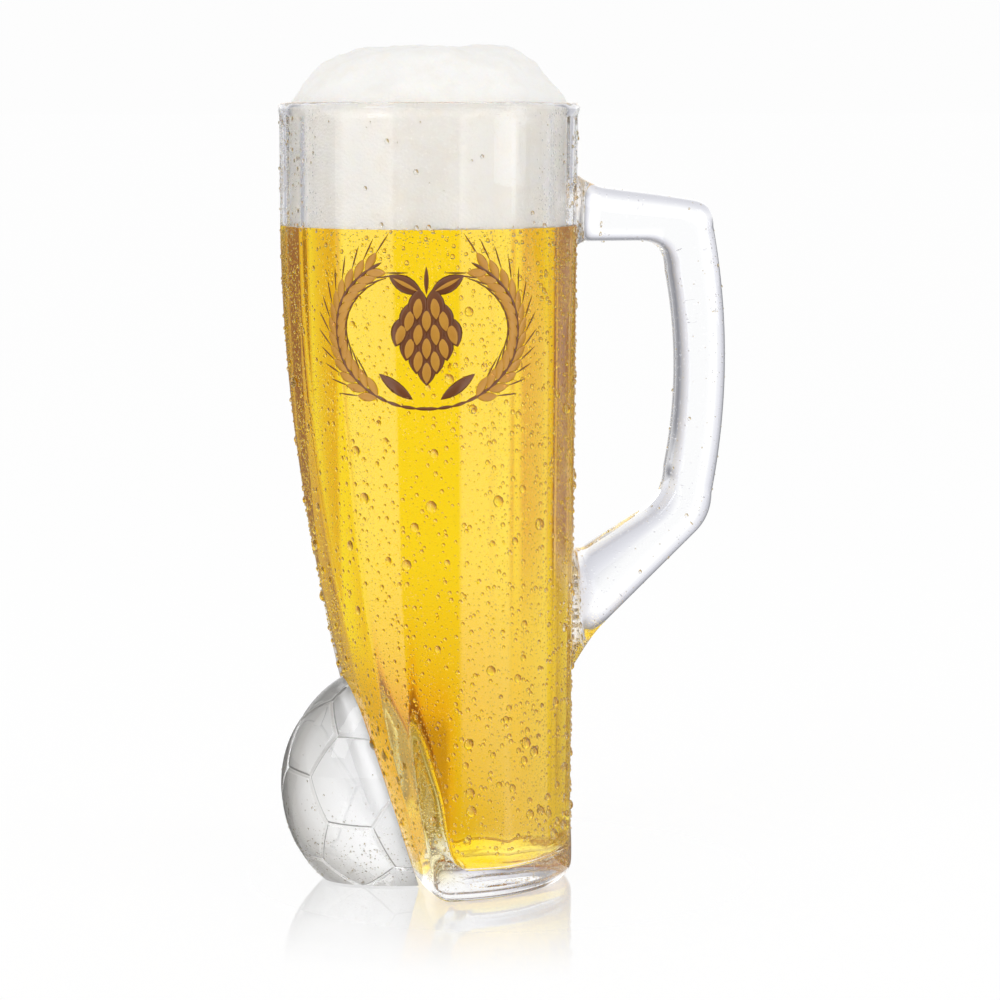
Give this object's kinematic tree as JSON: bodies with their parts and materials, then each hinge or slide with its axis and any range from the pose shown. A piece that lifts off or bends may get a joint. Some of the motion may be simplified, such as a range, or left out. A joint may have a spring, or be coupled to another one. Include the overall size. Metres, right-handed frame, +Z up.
{
  "type": "beer mug",
  "caption": "Tall faceted glass beer mug with a loop handle and half a glass football standing against its leaning side, full of beer under a domed head of foam.",
  "frame": {"origin": "middle of the mug's footprint box on the table, under the foot of the glass", "axes": "+Z up, +X toward the handle, -X toward the football, XZ is the plane of symmetry of the glass"},
  "size_m": [0.1168, 0.077, 0.2138],
  "materials": {
    "clear_glass": "fire-polished clear soda-lime glass",
    "beer": "clear golden lager",
    "foam": "soft fine-bubbled froth"
  },
  "bodies": {
    "root": {"glass_body": "clear_glass", "handle": "clear_glass", "football": "clear_glass", "beer": "beer", "foam_head": "foam"}
  },
  "joints": []
}
